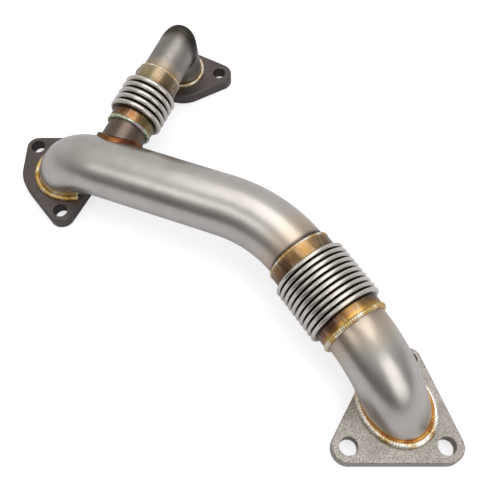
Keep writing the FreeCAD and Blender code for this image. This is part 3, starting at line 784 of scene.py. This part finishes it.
class UPPIPE_OT_bellows(bpy.types.Operator):
    """Builds both bellows from one convolution each"""

    bl_idname = "uppipe.bellows"
    bl_label = "Bellows"

    def execute(self, context):
        sizes = context.scene.uppipe_sizes
        rows = (
            ("main", FLEX_START + LOWER * MAIN_COLLAR, LOWER),
            ("branch", STUB_TOP + BRANCH * BRANCH_COLLAR, BRANCH),
        )
        for name, start, direction in rows:
            names = ("root", "crest", "pitch", "groove")
            root, crest, pitch, groove = (getattr(sizes, name + "_" + size) / MM for size in names)
            obj = self.convolution(name, start, direction, root, crest, pitch, groove)
            tree, sockets = row_tree()
            step = direction.normalized() * pitch * MM
            run_tree(obj, tree, sockets, Count=getattr(sizes, name + "_count"), Step=step)
            self.close_ends(obj, start, direction, pitch)
            colours = context.scene.uppipe_colours
            metal = name + "_formed_stainless_painted_groove_shade"
            dress(obj, bellows_material(metal, colours, start, direction, root, crest))
            carry(obj, name + "_bellows")
        return {"FINISHED"}

    def convolution(self, name, start, direction, root, crest, pitch, groove):
        """One round crest between two half grooves, and the sheet's bore, both open-ended."""
        g, c = groove / 2, (pitch - groove) / 2
        profile = arc_points(0, root + g, g, -90, 0, 6)
        profile += [(g, crest - c - CREST_CLEARANCE)]
        profile += arc_points(pitch / 2, crest - c, c, 180, 0, 18)[1:]
        profile += arc_points(pitch, root + g, g, 180, 270, 6)
        bore = [(0, root - SHEET), (pitch, root - SHEET)]
        t = direction.normalized()
        outside, inside = (
            [round_ring(start + t * s, direction, r, TURNS_BELLOWS) for s, r in outline]
            for outline in (profile, bore)
        )
        verts, faces, uvs = skin(outside)
        more, inner, inner_uvs = skin(inside)
        faces += [tuple(i + len(verts) for i in reversed(face)) for face in inner]
        return finish_mesh(name + "_bellows_row", verts + more, faces, uvs + inner_uvs)

    def close_ends(self, obj, start, direction, pitch):
        """Joins the sheet to its bore at both ends of the row."""
        bm = bmesh.new()
        bm.from_mesh(obj.data)
        rims = [edge for edge in bm.edges if edge.is_boundary]
        t = direction.normalized()
        first = [e for e in rims if (e.verts[0].co / MM - start).dot(t) < pitch / 2]
        last = [e for e in rims if e not in first]
        for group in (first, last):
            bmesh.ops.bridge_loops(bm, edges=group)
        bmesh.ops.recalc_face_normals(bm, faces=bm.faces)
        bm.to_mesh(obj.data)
        bm.free()


class UPPIPE_OT_collars(bpy.types.Operator):
    """Builds the four collars that hold the bellows"""

    bl_idname = "uppipe.collars"
    bl_label = "Collars"

    def execute(self, context):
        sizes = context.scene.uppipe_sizes
        main, branch = sizes.main_radius / MM, sizes.branch_radius / MM
        # Heat tints along each collar from its weld, and a second ramp across it along world x,
        # from one flank to the other.
        gold = [(0.0, "F6C858"), (0.3, "E0AC48"), (0.48, "A8793C")]
        gold += [(0.62, "85605E"), (0.8, "6E563D"), (1.0, "4E4033")]
        bronze = [(0.0, "CDB48A"), (0.25, "A5825C"), (0.55, "8C7052")]
        bronze += [(0.8, "786048"), (1.0, "5E4E40")]
        brown = [(0.0, "B98E62"), (0.3, "8A6448"), (0.6, "6A5040"), (1.0, "4C3C33")]
        pale = [(0.0, "C4B9A4"), (0.3, "B3A082"), (0.7, "A8926E")]
        pale += [(0.88, "6E6456"), (1.0, "A29E98")]
        warm = [(0.1, "74523C"), (0.4, "B98E4E"), (0.7, "96784C"), (0.95, "66503C")]
        neck = [(0.1, "4A3A30"), (0.4, "8A5436"), (0.6, "B07A4C"), (0.85, "8F8352")]
        top = [(0.1, "A89A7E"), (0.35, "B8A074"), (0.5, "8C8A66")]
        top += [(0.62, "8E6448"), (0.8, "5E4634"), (0.95, "4A3A30")]
        rows = (
            ("main", "lower", FLEX_START, LOWER, main, MAIN_COLLAR, gold, warm),
            ("main", "upper", FLEX_END, -LOWER, main, 12.0, bronze, warm),
            ("branch", "lower", STUB_TOP, BRANCH, branch, BRANCH_COLLAR, brown, neck),
            ("branch", "upper", BRANCH_FLEX_TOP, -BRANCH, branch, 14.5, pale, top),
        )
        for run, side, start, direction, tube, length, stops, sides in rows:
            name = run + "_" + side
            inner, outer = tube + COLLAR_GAP, tube + COLLAR_WALL
            profile = [(0.0, inner), (length, inner), (length, outer - COLLAR_EDGE)]
            profile += arc_points(length - COLLAR_EDGE, outer - COLLAR_EDGE, COLLAR_EDGE, 0, 90, 4)
            profile += [(length * 0.75, outer), (length * 0.5, outer), (length * 0.25, outer)]
            profile += arc_points(COLLAR_TOE, outer - COLLAR_TOE, COLLAR_TOE, 90, 180, 5)
            obj = crease(turned(name + "_collar_ring", start, direction, profile))
            flank = Vector((1.0, 0.0, 0.0)) - direction * direction.x
            dress(obj, collar_material("heat_tint_" + name, stops, length, sides, start, flank))
            carry(obj, run + "_bellows_" + side + "_collar")
        return {"FINISHED"}


class UPPIPE_OT_welds(bpy.types.Operator):
    """Lays the rippled weld beads"""

    bl_idname = "uppipe.welds"
    bl_label = "Welds"

    def execute(self, context):
        sizes, colours = context.scene.uppipe_sizes, context.scene.uppipe_colours
        main, branch = sizes.main_radius / MM, sizes.branch_radius / MM
        gold = bead_material("gold_weld_bead", "CDA058", "F2EDE2", "8F6A44", colours.bead)
        silver = bead_material("silver_weld_bead", "DCC08A", "FAF6EE", "A87A48", "EFE8DA")
        scorch = bead_material("scorched_toe", "A86A34", "D9A75C", "5E3C26", "C48A44")
        cool = bead_material("rainbow_weld_bead", "A79BB5", "ECEEDF", "C9A25E", "B9C8A8")
        burnt = bead_material("scorched_saddle_bead", "663A2A", "96683F", "40231B", "7A4A2C")

        # Fillets on the plates. Each path lies a little over its plate and off its tube.
        outlet_hub = Vector((-5, 7, 0))
        ring = level_ring(ELBOW_ROUTE, outlet_hub, PLATE + 1.4, main + 1.9)
        lay_bead("outlet_bead", ring, 2.7, 2.3, silver, "outlet_flange_weld", seed=5)
        ring = level_ring(ELBOW_ROUTE, outlet_hub, PLATE + 3.0, main + 0.5)
        lay_bead("outlet_bead_toe", ring, 1.3, 1.3, scorch, "outlet_flange_weld", seed=6)
        ring = self.open_under_pipe(level_ring(MAIN_ROUTE, INLET_PORT, PLATE + 1.2, main + 1.7))
        lay_bead("inlet_bead", ring, 2.5, 2.1, gold, "inlet_flange_weld", closed=False, seed=8)
        middle = (BRANCH_CORNER + BRANCH_PORT) / 2
        leg = Route([BRANCH_CORNER, middle, BRANCH_PORT + BRANCH_DOWN * 12], [1.0])
        branch_hub = BRANCH_PORT - BRANCH_DOWN * (PLATE / -BRANCH_DOWN.z)
        ring = level_ring(leg, branch_hub, PLATE + 1.0, branch + 1.3)
        lay_bead("branch_bead", ring, 2.1, 1.8, silver, "branch_flange_weld", seed=11)

        beads = (
            ("elbow_top_bead", FLEX_START, LOWER, main, 2.3, gold, "lower_elbow_weld"),
            ("main_end_bead", FLEX_END, LOWER, main, 1.6, gold, "main_pipe_weld"),
            ("stub_bead", STUB_TOP, BRANCH, branch, 1.9, cool, "branch_stub_weld"),
            ("branch_top_bead", BRANCH_FLEX_TOP, BRANCH, branch, 1.4, gold, "branch_elbow_weld"),
        )
        for name, at, direction, tube, radius, metal, node in beads:
            ring = round_ring(at, direction, tube + 0.7)
            lay_bead(name, ring, radius, radius * 0.85, metal, node)
        dress(bpy.data.objects["branch_saddle_weld"], burnt)
        return {"FINISHED"}

    def open_under_pipe(self, ring):
        """Leaves out what a torch can't reach of a ring, and starts the path at that gap."""
        back = Vector((-UPPER.x, -UPPER.y, 0.0)).normalized()
        ring = [p for p in ring if (p - INLET_PORT).dot(back) < INLET_BEAD_REACH]
        gap = max(range(len(ring)), key=lambda i: (ring[i] - ring[i - 1]).length)
        return ring[gap:] + ring[:gap]


class UPPIPE_OT_plates(bpy.types.Operator):
    """Gives the three flange plates and the hidden liners their finish"""

    bl_idname = "uppipe.plates"
    bl_label = "Plates"

    def execute(self, context):
        colours = context.scene.uppipe_colours
        raw = plate_material("raw_ground_plate", colours.raw_plate, "878078", 0.42, strength=0.35)
        dark = plate_material("scaled_mild_steel", colours.dark_plate, "595250", 0.4)
        sheet = plate_material("plain_sheet", "8F8B86", "6F6B66", 0.35)
        finishes = {
            "outlet_flange": raw,
            "inlet_flange": dark,
            "branch_flange": dark,
            "main_bellows_liner": sheet,
            "branch_bellows_liner": sheet,
        }
        for name, material in finishes.items():
            dress(bpy.data.objects[name], material)
        return {"FINISHED"}


class UPPIPE_OT_stage(bpy.types.Operator):
    """Sets the pale floor, the soft lamps and the camera"""

    bl_idname = "uppipe.stage"
    bl_label = "Stage"

    def execute(self, context):
        scene = context.scene
        scene.view_settings.view_transform = "Standard"
        self.lay_floor(scene)
        self.light_room(scene)
        self.set_lamps(scene)
        self.set_camera(scene)
        return {"FINISHED"}

    def lay_floor(self, scene):
        mesh = bpy.data.meshes.new("floor")
        # The paper ends well inside the room, so the pipe's near side reflects the dim room.
        left, right, near, far = -1.6, 1.4, -0.4, 1.1
        corners = [(left, near, 0), (right, near, 0), (right, far, 0), (left, far, 0)]
        mesh.from_pydata(corners, [], [(0, 1, 2, 3)])
        floor = bpy.data.objects.new("floor", mesh)
        scene.collection.objects.link(floor)
        floor.location.z = -FLOOR_DROP
        material, tree = new_material("white_paper")
        paper = add(tree, "ShaderNodeBsdfDiffuse", {"Color": linear("DADAE0")})
        path = add(tree, "ShaderNodeLightPath")
        seen = maths(tree, "MULTIPLY", path.outputs["Is Camera Ray"], 0.62)
        mirrored = maths(tree, "MULTIPLY", path.outputs["Is Glossy Ray"], 0.06)
        strength = maths(tree, "ADD", seen, mirrored)
        glow = add(tree, "ShaderNodeEmission", {"Color": linear("FFFFFF"), "Strength": strength})
        total = add(tree, "ShaderNodeAddShader", {0: paper.outputs[0], 1: glow.outputs[0]})
        add(tree, "ShaderNodeOutputMaterial", {"Surface": total.outputs[0]})
        dress(floor, material)

    def light_room(self, scene):
        """A room that is dim low down on the near side and white where the camera looks at it."""
        world = bpy.data.worlds.new("studio")
        scene.world = world
        world.use_nodes = True
        tree = world.node_tree
        tree.nodes.clear()
        way = add(tree, "ShaderNodeTexCoord").outputs["Generated"]
        split = add(tree, "ShaderNodeSeparateXYZ", {"Vector": way})
        near_stops = grey_stops((0.0, 0.1), (0.3, 0.14), (0.65, 0.45), (1.0, 0.64))
        near = ramp(tree, split.outputs["Z"], near_stops)
        far = ramp(tree, split.outputs["Z"], grey_stops((0.0, 0.62), (0.5, 0.6), (1.0, 0.64)))
        side = maths(tree, "ADD", maths(tree, "MULTIPLY", split.outputs["Y"], 0.8), 0.5, clamp=True)
        sky = mix(tree, side, near, far)
        seen = add(tree, "ShaderNodeLightPath").outputs["Is Camera Ray"]
        back = add(tree, "ShaderNodeBackground", {"Color": mix(tree, seen, sky, grey(1.0))})
        add(tree, "ShaderNodeOutputWorld", {"Surface": back.outputs[0]})

    def set_lamps(self, scene):
        """Area lamps: place and target, then width and depth, all in metres, and watts."""
        lamps = (
            ("softbox", (0.06, 0.46, 1.3), (-0.02, 0.3, 0.0), 1.1, 1.1, 5.5),
            ("right_card", (0.6, -0.72, 0.62), (0.0, 0.0, 0.03), 0.8, 1.0, 3.3),
            ("left_card", (-0.85, -0.35, 0.95), (-0.2, 0.17, 0.07), 0.45, 0.45, 0.75),
        )
        for name, place, target, width, depth, power in lamps:
            light = bpy.data.lights.new(name, "AREA")
            light.shape = "RECTANGLE"
            light.size, light.size_y = width, depth
            light.energy = power
            lamp = bpy.data.objects.new(name, light)
            scene.collection.objects.link(lamp)
            lamp.location = place
            way = Vector(target) - Vector(place)
            lamp.rotation_euler = way.to_track_quat("-Z", "Y").to_euler()

    def set_camera(self, scene):
        lens = bpy.data.cameras.new("camera")
        lens.lens = CAMERA_FOCAL
        lens.sensor_width = CAMERA_SENSOR
        camera = bpy.data.objects.new("camera", lens)
        scene.collection.objects.link(camera)
        camera.location = CAMERA_PLACE
        camera.rotation_euler = (math.radians(CAMERA_TILT), 0.0, 0.0)
        scene.camera = camera


class UPPIPE_PT_panel(bpy.types.Panel):
    """Lists the pieces of the up-pipe"""

    bl_idname = "UPPIPE_PT_panel"
    bl_label = "Up-pipe"
    bl_space_type = "VIEW_3D"
    bl_region_type = "UI"
    bl_category = "Up-pipe"

    def draw(self, context):
        for operator in OPERATORS:
            self.layout.operator(operator.bl_idname)
        for group in (context.scene.uppipe_sizes, context.scene.uppipe_colours):
            for name in group.__annotations__:
                self.layout.prop(group, name)


OPERATORS = (
    UPPIPE_OT_tubes,
    UPPIPE_OT_bellows,
    UPPIPE_OT_collars,
    UPPIPE_OT_welds,
    UPPIPE_OT_plates,
    UPPIPE_OT_stage,
)
CLASSES = (UpPipeSizes, UpPipeColours, *OPERATORS, UPPIPE_PT_panel)


def register():
    for cls in CLASSES:
        bpy.utils.register_class(cls)
    bpy.types.Scene.uppipe_sizes = bpy.props.PointerProperty(type=UpPipeSizes)
    bpy.types.Scene.uppipe_colours = bpy.props.PointerProperty(type=UpPipeColours)


def unregister():
    del bpy.types.Scene.uppipe_colours
    del bpy.types.Scene.uppipe_sizes
    for cls in reversed(CLASSES):
        bpy.utils.unregister_class(cls)


def main():
    register()
    bpy.ops.uppipe.tubes()
    bpy.ops.uppipe.bellows()
    bpy.ops.uppipe.collars()
    bpy.ops.uppipe.welds()
    bpy.ops.uppipe.plates()
    bpy.ops.uppipe.stage()
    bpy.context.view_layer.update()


if __name__ == "__main__":
    main()
